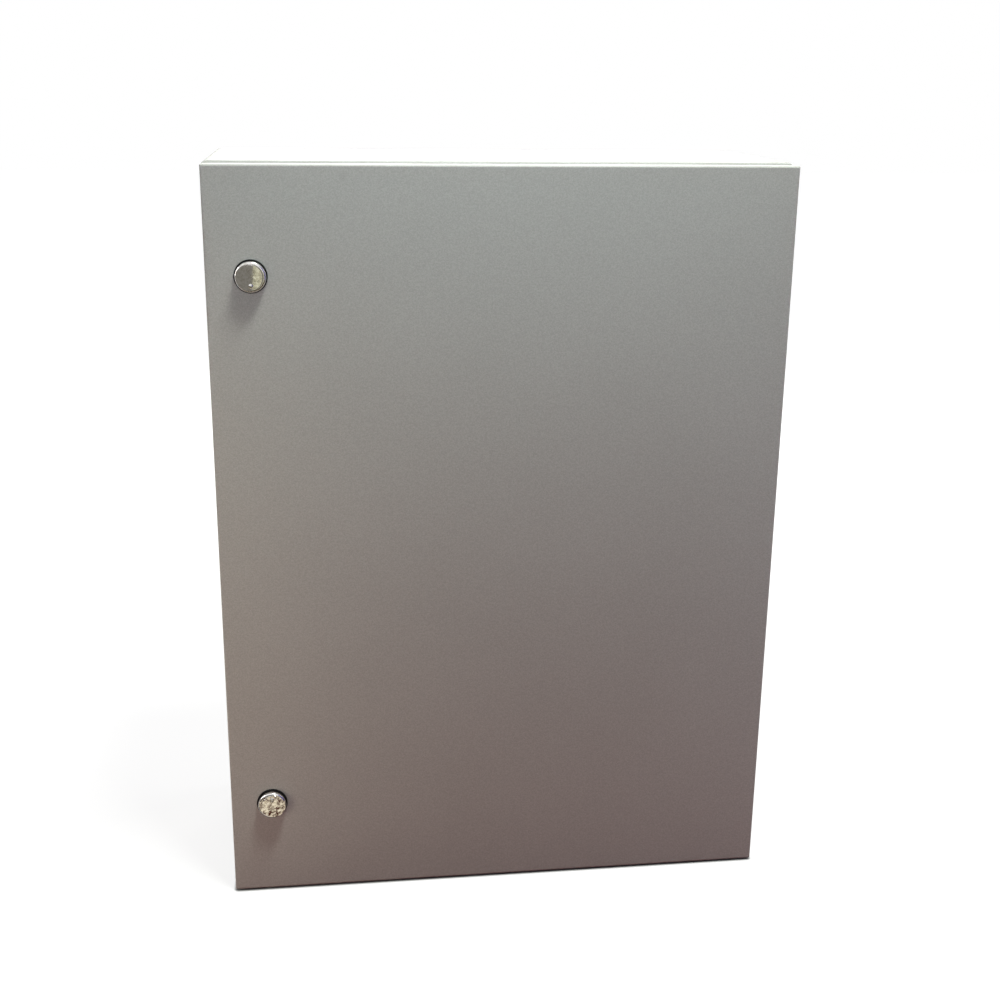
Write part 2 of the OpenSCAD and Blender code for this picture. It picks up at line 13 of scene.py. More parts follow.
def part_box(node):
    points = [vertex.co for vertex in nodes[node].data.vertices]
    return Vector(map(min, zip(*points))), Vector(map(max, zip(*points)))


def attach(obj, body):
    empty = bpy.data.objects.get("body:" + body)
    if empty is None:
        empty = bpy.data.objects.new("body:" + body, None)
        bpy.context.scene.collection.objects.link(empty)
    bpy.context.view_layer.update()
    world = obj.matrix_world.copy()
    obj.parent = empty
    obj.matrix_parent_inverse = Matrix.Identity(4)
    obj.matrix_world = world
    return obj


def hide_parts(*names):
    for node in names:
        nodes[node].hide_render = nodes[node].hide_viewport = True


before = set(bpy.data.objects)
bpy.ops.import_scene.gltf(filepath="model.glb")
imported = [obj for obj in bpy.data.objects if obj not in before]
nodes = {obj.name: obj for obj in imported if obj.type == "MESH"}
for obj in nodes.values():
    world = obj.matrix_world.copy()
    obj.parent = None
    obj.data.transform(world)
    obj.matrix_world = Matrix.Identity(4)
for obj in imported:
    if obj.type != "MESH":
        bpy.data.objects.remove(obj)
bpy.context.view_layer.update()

MM = 0.001
TAU = 2 * math.pi

# Directions that a turned piece can face, as the axes of its own space
TO_DOOR = Matrix(((1, 0, 0), (0, 0, -1), (0, 1, 0)))
TO_WALL = Matrix(((1, 0, 0), (0, 0, 1), (0, -1, 0)))
UP = Matrix.Identity(3)

door_lo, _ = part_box("door_panel")
body_lo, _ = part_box("body_wrap")
door_front = door_lo.y
lock_axis = {
    end: (sum(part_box(f"lock_seal_{end}"), Vector()) / 2).xz for end in ("upper", "lower")
}


def linear(*rgb):
    """Colour for a shader from its three screen levels, 0 to 255."""
    return tuple(
        v / 255 / 12.92 if v <= 10 else ((v / 255 + 0.055) / 1.055) ** 2.4 for v in rgb
    )


class Shader:
    """Nodes of one material or world, with short calls for those that are used often."""

    def __init__(self, name, world=False):
        self.owner = (bpy.data.worlds if world else bpy.data.materials).new(name)
        self.owner.use_nodes = True
        self.tree = self.owner.node_tree
        self.tree.nodes.clear()
        self.output = self.add("OutputWorld" if world else "OutputMaterial")

    def add(self, kind, inputs=None, **settings):
        """A node with its settings made, and its inputs linked or set by name or number."""
        node = self.tree.nodes.new("ShaderNode" + kind)
        for key, value in settings.items():
            setattr(node, key, value)
        for key, value in (inputs or {}).items():
            if isinstance(value, bpy.types.NodeSocket):
                self.tree.links.new(value, node.inputs[key])
            else:
                node.inputs[key].default_value = value
        return node

    def place(self, stretch=(1, 1, 1), turn=(0, 0, 0)):
        """The surface point in the piece's own space, turned and then stretched."""
        point = self.add("TexCoord").outputs["Object"]
        turned = self.add("Mapping", {"Vector": point, "Rotation": turn}).outputs[0]
        return self.add("Mapping", {"Vector": turned, "Scale": stretch}).outputs[0]

    def noise(self, point, size, detail=2.0, roughness=0.5):
        """Soft noise from 0 to 1 whose features are about size across."""
        values = {"Vector": point, "Scale": 1 / size, "Detail": detail, "Roughness": roughness}
        return self.add("TexNoise", values).outputs["Fac"]

    def cells(self, point, size):
        """Cells about size across: the distance and the random colour of each."""
        node = self.add("TexVoronoi", {"Vector": point, "Scale": 1 / size}, feature="F1")
        return node.outputs["Distance"], node.outputs["Color"]

    def remap(self, value, low, high, to_low=0.0, to_high=1.0):
        """value from the range low to high onto the other range, held at its ends."""
        values = {"Value": value, "From Min": low, "From Max": high,
                  "To Min": to_low, "To Max": to_high}
        return self.add("MapRange", values).outputs[0]

    def math(self, operation, a, b=0.0):
        """Result of one operation on two numbers."""
        return self.add("Math", {0: a, 1: b}, operation=operation).outputs[0]

    def blend(self, share, a, b):
        """Colours a and b mixed by share."""
        node = self.add("Mix", data_type="RGBA", blend_type="MIX")
        for socket, value in zip((0, 6, 7), (share, a, b)):
            if isinstance(value, bpy.types.NodeSocket):
                self.tree.links.new(value, node.inputs[socket])
            elif socket == 0:
                node.inputs[socket].default_value = value
            else:
                node.inputs[socket].default_value = (*value, 1)
        return node.outputs[2]

    def bump(self, height, depth, normal=None):
        """Normal of a surface that height, from 0 to 1, raises by depth."""
        values = {"Height": height, "Distance": depth, "Strength": 1.0}
        if normal is not None:
            values["Normal"] = normal
        return self.add("Bump", values).outputs[0]

    def surface(self, **inputs):
        """Finishes the material with one principled shader, and returns the material."""
        named = {}
        for key, value in inputs.items():
            label = key.replace("_", " ").title().replace("Ior", "IOR")
            named[label] = value
        return self.end_with(self.add("BsdfPrincipled", named))

    def end_with(self, node):
        """Makes a node's first output the surface, and returns the material or world."""
        self.tree.links.new(node.outputs[0], self.output.inputs["Surface"])
        return self.owner


# Materials

PAINT_LIGHT = linear(151, 150, 146)
PAINT_DARK = linear(137, 136, 132)
SMUDGE = linear(104, 102, 98)
# Small marks on the door's front: place from its left and lower edge, radius and strength
DOOR_MARKS = (
    (0.137, 0.785, 0.0050, 0.16),
    (0.146, 0.778, 0.0035, 0.12),
    (0.052, 0.597, 0.0011, 0.30),
    (0.181, 0.479, 0.0012, 0.30),
    (0.452, 0.697, 0.0010, 0.22),
    (0.393, 0.675, 0.0010, 0.20),
    (0.455, 0.679, 0.0009, 0.20),
    (0.372, 0.408, 0.0010, 0.22),
)


def grey_paint():
    """Powder coat: orange peel, fine grains and a faint cloudiness, with a few marks on the door."""
    s = Shader("grey_paint")
    point = s.place()
    cloud = s.noise(point, 0.12, 2.0)
    grain = s.noise(point, 0.9 * MM, 1.0)
    _, random = s.cells(point, 0.9 * MM)
    shade = s.add("SeparateColor", {"Color": random}).outputs[0]
    share = s.math("ADD", shade, s.remap(cloud, 0.3, 0.7, -0.05, 0.05))
    colour = s.blend(share, PAINT_DARK, PAINT_LIGHT)
    for x, z, radius, strength in DOOR_MARKS:
        centre = (door_lo.x + x, door_front, door_lo.z + z)
        apart = s.add("VectorMath", {0: point, 1: centre}, operation="DISTANCE").outputs["Value"]
        ragged = s.math("MULTIPLY", apart, s.remap(grain, 0.3, 0.7, 0.7, 1.5))
        colour = s.blend(s.remap(ragged, 0.3 * radius, radius, strength, 0.0), colour, SMUDGE)
    peel = s.noise(point, 1.7 * MM, 1.5, 0.6)
    normal = s.bump(peel, 0.011 * MM)
    rough = s.remap(cloud, 0.3, 0.7, 0.46, 0.54)
    return s.surface(base_color=colour, roughness=rough, specular_ior_level=0.35, normal=normal)


CRYSTAL_SIZE = 11 * MM
CRYSTAL_SHIFT = 4 * MM


def galvanised_steel():
    """Hot-dip zinc: flat crystals of slightly different shine, with rolling lines under them."""
    s = Shader("galvanised_steel")
    point = s.place()
    warp = s.noise(point, 9 * MM, 2.0)
    shift = s.add("VectorMath", {0: warp, 3: CRYSTAL_SHIFT}, operation="SCALE").outputs[0]
    shifted = s.add("VectorMath", {0: point, 1: shift}).outputs[0]
    _, random = s.cells(shifted, CRYSTAL_SIZE)
    shade = s.add("SeparateColor", {"Color": random}).outputs[0]
    lines = s.noise(s.place(stretch=(1, 1, 0.02)), 0.6 * MM, 2.0)
    colour = s.blend(shade, linear(176, 179, 182), linear(199, 201, 203))
    colour = s.blend(s.remap(lines, 0.3, 0.7, 0.0, 0.25), colour, linear(160, 163, 167))
    rough = s.remap(shade, 0.0, 1.0, 0.34, 0.50)
    normal = s.bump(lines, 0.004 * MM)
    return s.surface(base_color=colour, metallic=1.0, roughness=rough, normal=normal)


def zinc_steel():
    """Bright zinc plating, a little blue, with cloudy passivation and fine pits."""
    s = Shader("zinc_steel")
    point = s.place()
    cloud = s.noise(point, 5 * MM, 3.0)
    tint = s.blend(s.remap(cloud, 0.35, 0.65), linear(190, 193, 198), linear(206, 203, 192))
    pits = s.noise(point, 0.35 * MM, 2.0)
    rough = s.remap(cloud, 0.3, 0.7, 0.24, 0.38)
    return s.surface(base_color=tint, metallic=1.0, roughness=rough, normal=s.bump(pits, 0.008 * MM))


def zinc_lock():
    """Die-cast and plated lock parts: duller than the fasteners, with a grainy skin."""
    s = Shader("zinc_lock")
    point = s.place()
    cloud = s.noise(point, 3 * MM, 3.0)
    tint = s.blend(s.remap(cloud, 0.3, 0.7), linear(168, 169, 170), linear(189, 188, 184))
    skin = s.noise(point, 0.5 * MM, 3.0, 0.65)
    rough = s.remap(cloud, 0.3, 0.7, 0.32, 0.46)
    return s.surface(base_color=tint, metallic=1.0, roughness=rough, normal=s.bump(skin, 0.02 * MM))


def foam_seal():
    """Foamed polyurethane: dark, matt, with small open cells."""
    s = Shader("foam_seal")
    point = s.place()
    apart, _ = s.cells(point, 0.7 * MM)
    cloud = s.noise(point, 8 * MM, 2.0)
    colour = s.blend(cloud, linear(42, 43, 45), linear(58, 58, 60))
    colour = s.blend(s.remap(apart, 0.1, 0.6, 0.35, 0.0), colour, linear(20, 20, 22))
    normal = s.bump(apart, 0.10 * MM)
    return s.surface(base_color=colour, roughness=0.85, specular_ior_level=0.3, normal=normal)


def black_rubber():
    """Moulded rubber ring with a faint bloom."""
    s = Shader("black_rubber")
    point = s.place()
    bloom = s.noise(point, 2.5 * MM, 3.0)
    colour = s.blend(s.remap(bloom, 0.45, 0.75), linear(9, 9, 10), linear(22, 21, 21))
    normal = s.bump(s.noise(point, 0.25 * MM, 2.0), 0.01 * MM)
    rough = s.remap(bloom, 0.3, 0.7, 0.55, 0.7)
    return s.surface(base_color=colour, roughness=rough, specular_ior_level=0.12, normal=normal)


# Streaks on the dust covers: depth, size, and how they are drawn out and turned
COVER_DIMPLE = 0.015 * MM
STREAK_SIZE = 1.0 * MM
STREAK_STRETCH = (1, 1, 0.28)
STREAK_TURN = (0, -0.75, 0)


def chrome_lock(name="chrome_lock", dimple=0.0):
    """Bright chrome with fine handling marks, and streaks of the depth that dimple gives."""
    s = Shader(name)
    point = s.place()
    smears = s.noise(point, 3 * MM, 3.0)
    tint = s.blend(s.remap(smears, 0.4, 0.7), linear(232, 231, 230), linear(214, 211, 205))
    scratch = s.noise(s.place(stretch=(1, 1, 0.06), turn=(0, 0.6, 0)), 0.25 * MM, 2.0)
    normal = s.bump(scratch, 0.0006 * MM)
    if dimple:
        streaks = s.noise(s.place(STREAK_STRETCH, STREAK_TURN), STREAK_SIZE, 1.0)
        normal = s.bump(streaks, dimple, normal)
    rough = s.remap(smears, 0.35, 0.7, 0.03, 0.09)
    return s.surface(base_color=tint, metallic=1.0, roughness=rough, normal=normal)


FINISHES = (
    grey_paint, galvanised_steel, zinc_steel, zinc_lock, foam_seal, black_rubber, chrome_lock,
)
MATERIALS = {make.__name__: make() for make in FINISHES}
chrome_cover = chrome_lock("chrome_cover", COVER_DIMPLE)

for node in nodes.values():
    slot_name = node.material_slots[0].material.name.split(".")[0]
    node.material_slots[0].material = MATERIALS[slot_name]


# Mesh helpers


def new_piece(name, mesh_maker, body, slot, stands_for=(), smooth_angle=40, finish=None):
    """A piece whose mesh is made by mesh_maker(bm), riding on a body and finished as its slot."""
    bm = bmesh.new()
    mesh_maker(bm)
    bmesh.ops.recalc_face_normals(bm, faces=bm.faces)
    mesh = bpy.data.meshes.new(name)
    bm.to_mesh(mesh)
    bm.free()
    mesh.shade_smooth()
    mesh.set_sharp_from_angle(angle=math.radians(smooth_angle))
    piece = bpy.data.objects.new(name, mesh)
    bpy.context.scene.collection.objects.link(piece)
    mesh.materials.append(finish or MATERIALS[slot])
    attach(piece, body)
    if stands_for:
        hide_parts(*stands_for)
    return piece


def solids(node):
    """Boxes (lowest corner, highest corner) of the separate solids in a node."""
    mesh = nodes[node].data
    keys = [tuple(round(c / (0.001 * MM)) for c in v.co) for v in mesh.vertices]
    root = {key: key for key in keys}

    def find(key):
        while root[key] != key:
            root[key] = root[root[key]]
            key = root[key]
        return key

    for face in mesh.polygons:
        first = find(keys[face.vertices[0]])
        for index in face.vertices[1:]:
            root[find(keys[index])] = first
    groups = {}
    for key, vertex in zip(keys, mesh.vertices):
        groups.setdefault(find(key), []).append(vertex.co)
    boxes = []
    for points in groups.values():
        low = Vector([min(p[i] for p in points) for i in range(3)])
        high = Vector([max(p[i] for p in points) for i in range(3)])
        boxes.append((low, high))
    return sorted(boxes, key=lambda box: tuple(box[0]))


def standing(box, facing):
    """Placement of a turned piece that fills box, with its own +Z along facing's third axis."""
    low, high = box
    half = (high - low) / 2
    start = (low + high) / 2
    axis = facing.col[2]
    start = start - Vector([a * h for a, h in zip(axis, half)])
    return Matrix.Translation(start) @ facing.to_4x4()


def extent(box, facing):
    """Width across local X and length along local Z of a box that faces that way."""
    size = box[1] - box[0]
    local = [abs(v) for v in facing.transposed() @ size]
    return local[0], local[2]


def skin_rings(bm, rings, closed=False):
    """Joins rings of points, each with as many points, by quads; closed joins last to first."""
    loops = [[bm.verts.new(p) for p in ring] for ring in rings]
    pairs = list(zip(loops, loops[1:]))
    if closed:
        pairs.append((loops[-1], loops[0]))
    for a, b in pairs:
        count = len(a)
        for i in range(count):
            j = (i + 1) % count
            bm.faces.new((a[i], a[j], b[j], b[i]))
    return loops


def turned_ring(place, radius, height, count):
    """Points round local Z; radius is a number or a function of the angle."""
    at = radius if callable(radius) else lambda angle: radius
    angles = [TAU * i / count for i in range(count)]
    return [place @ Vector((at(a) * math.cos(a), at(a) * math.sin(a), height)) for a in angles]


def turned(bm, place, profile, count=32):
    """Closed turned solid from (radius, height) points that start and end on the axis side."""
    loops = skin_rings(bm, [turned_ring(place, r, h, count) for r, h in profile])
    bm.faces.new(loops[0])
    bm.faces.new(loops[-1])


def hexagon(flat_r):
    """Radius of a hexagon at an angle, with flats on local X and flat_r from its middle."""
    def radius(angle):
        return flat_r / math.cos((angle + math.pi / 6) % (math.pi / 3) - math.pi / 6)
    return radius


# Nuts: flat face and countersink as shares of half the width, and the slope of the chamfer
NUT_FACE_SHARE = 0.95
NUT_SINK_SHARE = 0.08
NUT_CHAMFER = math.radians(30)


def hex_nut(bm, place, flat_r, bore_r, height, count=72):
    """Nut whose corners are chamfered to a circle at both faces, and whose bore is countersunk."""
    outline = hexagon(flat_r)
    face_r = NUT_FACE_SHARE * flat_r
    slope = math.tan(NUT_CHAMFER)
    sink = NUT_SINK_SHARE * flat_r

    def corner(side):
        def point(angle):
            drop = (outline(angle) - face_r) * slope
            return outline(angle), drop if side == 0 else height - drop
        return point

    def ring(maker):
        points = []
        for i in range(count):
            angle = TAU * i / count
            r, h = maker(angle)
            points.append(place @ Vector((r * math.cos(angle), r * math.sin(angle), h)))
        return points

    rings = [
        turned_ring(place, bore_r, sink, count),
        turned_ring(place, bore_r + sink, 0, count),
        turned_ring(place, face_r, 0, count),
        ring(corner(0)),
        ring(corner(1)),
        turned_ring(place, face_r, height, count),
        turned_ring(place, bore_r + sink, height, count),
        turned_ring(place, bore_r, height - sink, count),
    ]
    skin_rings(bm, rings, closed=True)


# Threads: depth, flat crest and chamfer at the tip as shares of the pitch
THREAD_DEPTH_SHARE = 0.6
THREAD_CREST_SHARE = 0.15
THREAD_TIP_SHARE = 0.2


def threaded_rod(bm, place, radius, length, pitch, count=28, rows=7):
    """Rod with a V thread and a chamfered tip, standing on place's origin."""
    depth = THREAD_DEPTH_SHARE * pitch
    steps = round(length / pitch * rows)
    rings = []
    for step in range(steps + 1):
        height = length * step / steps
        limit = min(radius, radius - depth + (length - height) + THREAD_TIP_SHARE * pitch)

        def crest(angle, height=height, limit=limit):
            wave = abs(2 * ((height / pitch - angle / TAU) % 1) - 1)
            into_flank = (1 + THREAD_CREST_SHARE) * wave - THREAD_CREST_SHARE
            return min(limit, radius - depth * max(0.0, into_flank))
        rings.append(turned_ring(place, crest, height, count))
    loops = skin_rings(bm, rings)
    bm.faces.new(loops[0])
    bm.faces.new(loops[-1])


# Screw sockets: the drilled cone's end and depth as shares of the socket's
CONE_END_SHARE = 0.1
CONE_DEPTH_SHARE = 1.25


def socket_screw(bm, place, profile, socket_r, socket_depth, count=48):
    """Turned screw with a hexagonal socket in the top that the profile ends at."""
    _, top = profile[-1]
    outline = hexagon(socket_r)
    rings = [turned_ring(place, r, h, count) for r, h in profile]
    rings.append(turned_ring(place, outline, top, count))
    rings.append(turned_ring(place, outline, top - socket_depth, count))
    cone_end = top - CONE_DEPTH_SHARE * socket_depth
    rings.append(turned_ring(place, CONE_END_SHARE * socket_r, cone_end, count))
    loops = skin_rings(bm, rings)
    bm.faces.new(loops[0])
    bm.faces.new(loops[-1])


def rounded_path(half_w, half_h, radius, step):
    """Points (x, z, outward normal x, z) about step apart round a rectangle with round corners."""
    points = []
    corners = ((1, 1, 0), (-1, 1, 90), (-1, -1, 180), (1, -1, 270))
    arc_steps = max(6, round(radius * math.pi / 2 / step))
    for index, (sx, sz, start) in enumerate(corners):
        cx, cz = sx * (half_w - radius), sz * (half_h - radius)
        for k in range(arc_steps + 1):
            angle = math.radians(start + 90 * k / arc_steps)
            nx, nz = math.cos(angle), math.sin(angle)
            points.append((cx + radius * nx, cz + radius * nz, nx, nz))
        nx, nz = points[-1][2:]
        next_sx, next_sz, _ = corners[(index + 1) % 4]
        next_corner = Vector((next_sx * (half_w - radius), next_sz * (half_h - radius)))
        end = next_corner + radius * Vector((nx, nz))
        start_point = Vector(points[-1][:2])
        run = (end - start_point).length
        count = max(1, round(run / step))
        for k in range(1, count):
            p = start_point.lerp(end, k / count)
            points.append((p.x, p.y, nx, nz))
    return points


def sweep_round(bm, centre, path, section):
    """Sweeps section(travel) = [(outward, depth), ...] along a path about centre, facing +Y."""
    rings = []
    travel = 0.0
    before = None
    for x, z, nx, nz in path:
        here = Vector((x, z))
        travel += (here - before).length if before is not None else 0.0
        before = here
        rings.append([
            Vector((centre.x + x + nx * out, centre.y + depth, centre.z + z + nz * out))
            for out, depth in section(travel)
        ])
    skin_rings(bm, rings, closed=True)


# Fasteners: threads on the studs, chamfered nuts, and screws with sockets

THREADS = {
    "plate_studs": (TO_DOOR, 1.25 * MM, "cabinet"),
    "gland_studs": (UP, 0.8 * MM, "cabinet"),
    "body_earth_stud": (UP, 1.25 * MM, "cabinet"),
    "door_earth_stud": (TO_WALL, 1.25 * MM, "door"),
}
for node, (facing, pitch, body) in THREADS.items():
    def studs(bm, node=node, facing=facing, pitch=pitch):
        for box in solids(node):
            width, length = extent(box, facing)
            threaded_rod(bm, standing(box, facing), width / 2, length, pitch)
    new_piece(node + "_threaded", studs, body, "zinc_steel", [node], smooth_angle=25)

# Nut nodes: facing, bolt radius, body and slot
NUTS = {
    "plate_nuts": (TO_DOOR, 4 * MM, "cabinet", "zinc_steel"),
    "gland_nuts": (UP, 2.5 * MM, "cabinet", "zinc_steel"),
    "body_earth_nut": (UP, 4 * MM, "cabinet", "zinc_steel"),
    "door_earth_nut": (TO_WALL, 4 * MM, "door", "zinc_steel"),
    "hinge_leaf_nuts": (TO_WALL, 2 * MM, "cabinet", "zinc_steel"),
    "lock_nut_upper": (TO_WALL, 9 * MM, "door", "zinc_lock"),
    "lock_nut_lower": (TO_WALL, 9 * MM, "door", "zinc_lock"),
}
NUT_PLAY = 0.05 * MM
for node, (facing, bolt_r, body, slot) in NUTS.items():
    def nuts(bm, node=node, facing=facing, bolt_r=bolt_r):
        for box in solids(node):
            width, length = extent(box, facing)
            hex_nut(bm, standing(box, facing), width / 2, bolt_r + NUT_PLAY, length)
    new_piece(node + "_chamfered", nuts, body, slot, [node], smooth_angle=20)

# Screws: tip as a share of the shank's radius and its height, then shank, head and socket
TIP_SHARE = 0.8
TIP_H = 0.4 * MM
LEAF_SCREW_R = 2 * MM
LEAF_FLARE = 2 * MM
LEAF_EDGE = 0.15 * MM
LEAF_SOCKET_R = 1.25 * MM
LEAF_SOCKET_DEPTH = 1.2 * MM


def leaf_screws(bm):
    """Countersunk screws that face the door, with their tips at the back of the rim."""
    for box in solids("hinge_leaf_screws"):
        _, length = extent(box, TO_DOOR)
        neck = length - LEAF_FLARE
        head_r = LEAF_SCREW_R + LEAF_FLARE
        profile = [(TIP_SHARE * LEAF_SCREW_R, 0), (LEAF_SCREW_R, TIP_H), (LEAF_SCREW_R, neck),
                   (head_r, length - LEAF_EDGE), (head_r - LEAF_EDGE, length)]
        place = standing(box, TO_DOOR)
        socket_screw(bm, place, profile, LEAF_SOCKET_R, LEAF_SOCKET_DEPTH)


new_piece("hinge_leaf_screws_socket", leaf_screws, "cabinet", "zinc_steel",
          ["hinge_leaf_screws"], 25)

CAM_SCREW_R = 2 * MM
CAM_HEAD_H = 3 * MM
CAM_EDGE = 0.5 * MM
CAM_EDGE_SHARE = 0.3
CAM_SOCKET_R = 1.5 * MM
CAM_SOCKET_DEPTH = 1.5 * MM
for end in ("upper", "lower"):
    def cam_screw(bm, end=end):
        box = solids(f"cam_screw_{end}")[0]
        width, length = extent(box, TO_WALL)
        head_r = width / 2
        neck = length - CAM_HEAD_H
        rounding = CAM_EDGE_SHARE * CAM_EDGE
        profile = [(TIP_SHARE * CAM_SCREW_R, 0), (CAM_SCREW_R, TIP_H), (CAM_SCREW_R, neck),
                   (head_r, neck), (head_r, length - CAM_EDGE),
                   (head_r - rounding, length - rounding), (head_r - CAM_EDGE, length)]
        socket_screw(bm, standing(box, TO_WALL), profile, CAM_SOCKET_R, CAM_SOCKET_DEPTH)
    new_piece(f"cam_screw_{end}_socket", cam_screw, f"lock_{end}", "zinc_lock",
              [f"cam_screw_{end}"], 25)


# Door gasket: a foamed bead with the groove that the body's lip has pressed into it

GASKET_W = 8 * MM
GASKET_LINE_R = 9 * MM
GASKET_STEP = 4 * MM
# Its section: points, share of the height that stands straight, and powers that round it
BEAD_STEPS = 18
BEAD_SIDE_SHARE = 0.34
BEAD_WIDTH_POWER = 0.7
BEAD_HEIGHT_POWER = 0.8
# Its unevenness along the line, and the pressed groove
SWELL_SHARE = 0.02
SWELL_LONG = 37 * MM
SWELL_SHORT = 11.3 * MM
GROOVE_HALF_W = 1.1 * MM
GROOVE_DEPTH = 0.9 * MM


def gasket_bead(bm):
    """Bead with a round crown, swept along the line of the door's gasket."""
    low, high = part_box("door_gasket")
    tall = high.y - low.y
    centre = (low + high) / 2
    centre.y = low.y
    half_w = (high.x - low.x - GASKET_W) / 2
    half_h = (high.z - low.z - GASKET_W) / 2

    def section(travel):
        wave = math.sin(travel / SWELL_LONG) * math.sin(travel / SWELL_SHORT)
        swell = 1 - SWELL_SHARE * (1 + wave) / 2
        points = []
        for k in range(BEAD_STEPS + 1):
            angle = math.pi * k / BEAD_STEPS
            across = abs(math.cos(angle)) ** BEAD_WIDTH_POWER
            out = math.copysign(across, math.cos(angle)) * GASKET_W / 2
            crown = (1 - BEAD_SIDE_SHARE) * math.sin(angle) ** BEAD_HEIGHT_POWER
            rise = (BEAD_SIDE_SHARE + crown) * tall * swell
            groove = math.exp(-((out / GROOVE_HALF_W) ** 2)) * GROOVE_DEPTH
            points.append((out, rise - groove))
        return [(GASKET_W / 2, 0.0), *points, (-GASKET_W / 2, 0.0)]

    sweep_round(bm, centre, rounded_path(half_w, half_h, GASKET_LINE_R, GASKET_STEP), section)


new_piece("door_gasket_bead", gasket_bead, "door", "foam_seal", ["door_gasket"], 60)


# Welds: collars round the studs, spot welds on the stiffeners, seams round the back

# Section of a collar: distance out from the stud and height over the sheet
COLLAR_SECTION = (
    (0.0, -0.1 * MM),
    (1.1 * MM, -0.1 * MM),
    (1.0 * MM, 0.225 * MM),
    (0.5 * MM, 0.54 * MM),
    (0.0, 0.9 * MM),
)
COLLAR_COUNT = 28


def collars(bm, node, facing):
    """Weld collar at the foot of each stud in a node."""
    for box in solids(node):
        width, _ = extent(box, facing)
        place = standing(box, facing)
        rings = [turned_ring(place, width / 2 + a, h, COLLAR_COUNT) for a, h in COLLAR_SECTION]
        skin_rings(bm, rings, closed=True)


for side, body, facing in (("body", "cabinet", UP), ("door", "door", TO_WALL)):
    def earth_weld(bm, side=side, facing=facing):
        collars(bm, f"{side}_earth_stud", facing)
    new_piece(f"{side}_earth_weld", earth_weld, body, "zinc_steel")

SPOT_R = 3 * MM
SPOT_PITCH = 75 * MM
SPOT_COUNT = 24
# Section of a spot weld: share of its radius and height over the sheet
SPOT_SECTION = (
    (1.0, -0.05 * MM),
    (1.0, 0.02 * MM),
    (0.8, 0.16 * MM),
    (0.6, 0.05 * MM),
    (0.2, 0.03 * MM),
)
STIFFENER_FOOT = 10 * MM
STIFFENER_SHEET = 1.2 * MM


def spot_welds(bm):
    """Shallow dimples along both feet of each stiffener."""
    profile = [(share * SPOT_R, height) for share, height in SPOT_SECTION]
    for side in ("left", "right"):
        low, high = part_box(f"door_stiffener_{side}")
        count = int((high.z - low.z) // SPOT_PITCH)
        first = (low.z + high.z - (count - 1) * SPOT_PITCH) / 2
        for x in (low.x + STIFFENER_FOOT / 2, high.x - STIFFENER_FOOT / 2):
            for k in range(count):
                spot = Vector((x, low.y + STIFFENER_SHEET, first + k * SPOT_PITCH))
                turned(bm, Matrix.Translation(spot) @ TO_WALL.to_4x4(), profile, SPOT_COUNT)


new_piece("stiffener_spot_welds", spot_welds, "door", "grey_paint", smooth_angle=50)

SEAM_LEG = 3 * MM
SEAM_SUNK = 0.1 * MM
SEAM_CORNER_R = 4.5 * MM
SEAM_STEP = 0.6 * MM
SEAM_RIPPLE = 2.4 * MM
RIPPLE_SHARE = 0.06
# Hollow face of the fillet: shares of the leg, inwards and towards the door
SEAM_FACE_SHARES = ((0.62, 0.12), (0.3, 0.3), (0.12, 0.62))


def back_seam(bm):
    """Painted fillet weld where the back panel meets the walls, inside the cabinet."""
    low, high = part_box("back_panel")
    centre = (low + high) / 2
    centre.y = low.y

    def section(travel):
        leg = SEAM_LEG * (1 + RIPPLE_SHARE * math.sin(TAU * travel / SEAM_RIPPLE))
        face = [(-inwards * leg, -outwards * leg) for inwards, outwards in SEAM_FACE_SHARES]
        return [(SEAM_SUNK, SEAM_SUNK), (-leg, SEAM_SUNK), *face, (SEAM_SUNK, -leg)]

    half_w, half_h = (high.x - low.x) / 2, (high.z - low.z) / 2
    path = rounded_path(half_w, half_h, SEAM_CORNER_R, SEAM_STEP)
    sweep_round(bm, centre, path, section)


new_piece("back_panel_seam", back_seam, "cabinet", "grey_paint", smooth_angle=70)


# Threads on the lock barrels, left off where the barrel has its two flats

BARREL_R = 9 * MM
BARREL_FLAT_R = 8 * MM
BARREL_PITCH = 1.5 * MM
BARREL_RIDGE = 0.35 * MM
BARREL_SUNK = 0.05 * MM
BARREL_TURN_STEPS = 72
# Ridge: half its foot as a share of the pitch, its crest as a share of the foot
RIDGE_FOOT_SHARE = 0.46
RIDGE_CREST_SHARE = 0.2
# Angles, in radians, that a ridge stops short of a flat and takes to fade out
RIDGE_SHORT = 0.03
RIDGE_FADE = 0.12


def barrel_thread(bm, end):
    """Thread between the nut and the end of a lock's barrel, in runs between the flats."""
    _, nut_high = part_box(f"lock_nut_{end}")
    _, barrel_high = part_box(f"lock_housing_{end}")
    x, z = lock_axis[end]
    start, stop = nut_high.y + BARREL_PITCH, barrel_high.y - BARREL_PITCH
    total = int((stop - start) / BARREL_PITCH * BARREL_TURN_STEPS)
    flat_edge = math.asin(BARREL_FLAT_R / BARREL_R) - RIDGE_SHORT
    run = []
    for step in range(total + 1):
        angle = TAU * step / BARREL_TURN_STEPS
        y = start + BARREL_PITCH * step / BARREL_TURN_STEPS
        lean = math.asin(min(1, abs(math.sin(angle))))
        if lean > flat_edge:
            if len(run) > 2:
                ridge(bm, run)
            run = []
            continue
        fade = min(1.0, (flat_edge - lean) / RIDGE_FADE)
        out = Vector((math.cos(angle), 0, math.sin(angle)))
        foot = Vector((x, y, z)) + out * (BARREL_R - BARREL_SUNK)
        along = Vector((0, RIDGE_FOOT_SHARE * BARREL_PITCH, 0))
        crest = RIDGE_CREST_SHARE * along
        tip = foot + out * (BARREL_SUNK + BARREL_RIDGE * fade)
        run.append((foot - along, tip - crest, tip + crest, foot + along))
    if len(run) > 2:
        ridge(bm, run)


